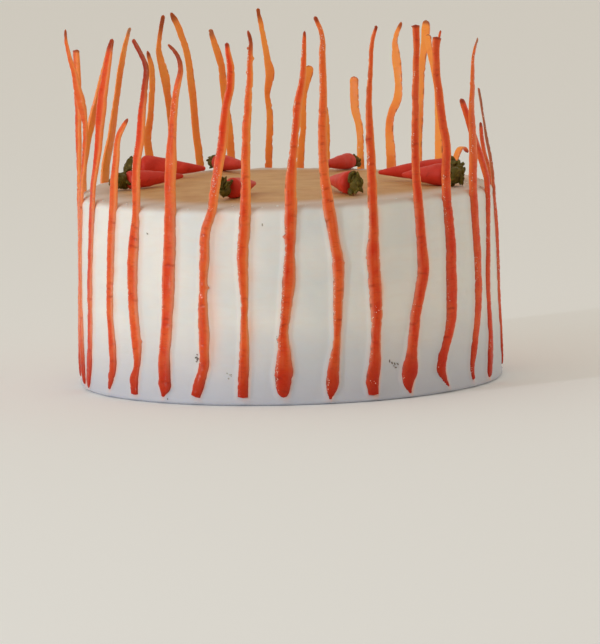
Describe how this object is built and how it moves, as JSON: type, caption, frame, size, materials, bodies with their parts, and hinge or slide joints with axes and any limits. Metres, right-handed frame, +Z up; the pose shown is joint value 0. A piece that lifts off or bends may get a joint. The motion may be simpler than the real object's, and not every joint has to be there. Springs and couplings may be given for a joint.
{
  "type": "carrot cake",
  "caption": "Round iced cake with a fence of thin upright candied carrot strips round its side and small sugar carrots lying on its top.",
  "frame": {"origin": "centre of the cake's flat base", "axes": "+Z up through the middle of the cake, -Y towards the front"},
  "size_m": [0.2206, 0.2196, 0.1934],
  "materials": {
    "icing": "matte, hand-spread buttercream icing, tan on the top",
    "candied_carrot": "glossy candied carrot, orange with darker red feet",
    "red_sugar": "satin red-orange sugar paste",
    "green_sugar": "dull dark moss-green sugar paste"
  },
  "bodies": {
    "root": {"iced_cake": "icing", "carrot_strip_01": "candied_carrot", "carrot_strip_02": "candied_carrot", "carrot_strip_03": "candied_carrot", "carrot_strip_04": "candied_carrot", "carrot_strip_05": "candied_carrot", "carrot_strip_06": "candied_carrot", "carrot_strip_07": "candied_carrot", "carrot_strip_08": "candied_carrot", "carrot_strip_09": "candied_carrot", "carrot_strip_10": "candied_carrot", "carrot_strip_11": "candied_carrot", "carrot_strip_12": "candied_carrot", "carrot_strip_13": "candied_carrot", "carrot_strip_14": "candied_carrot", "carrot_strip_15": "candied_carrot", "carrot_strip_16": "candied_carrot", "carrot_strip_17": "candied_carrot", "carrot_strip_18": "candied_carrot", "carrot_strip_19": "candied_carrot", "carrot_strip_20": "candied_carrot", "carrot_strip_21": "candied_carrot", "carrot_strip_22": "candied_carrot", "carrot_strip_23": "candied_carrot", "carrot_strip_24": "candied_carrot", "carrot_strip_25": "candied_carrot", "carrot_strip_26": "candied_carrot", "carrot_strip_27": "candied_carrot", "carrot_strip_28": "candied_carrot", "carrot_strip_29": "candied_carrot", "carrot_strip_30": "candied_carrot", "carrot_strip_31": "candied_carrot", "carrot_strip_32": "candied_carrot", "sugar_carrot_1": "red_sugar", "sugar_carrot_2": "red_sugar", "sugar_carrot_3": "red_sugar", "sugar_carrot_4": "red_sugar", "sugar_carrot_5": "red_sugar", "sugar_carrot_6": "red_sugar", "sugar_carrot_7": "red_sugar", "sugar_carrot_8": "red_sugar", "carrot_top_1": "green_sugar", "carrot_top_2": "green_sugar", "carrot_top_3": "green_sugar", "carrot_top_4": "green_sugar", "carrot_top_5": "green_sugar", "carrot_top_6": "green_sugar", "carrot_top_7": "green_sugar", "carrot_top_8": "green_sugar"}
  },
  "joints": []
}
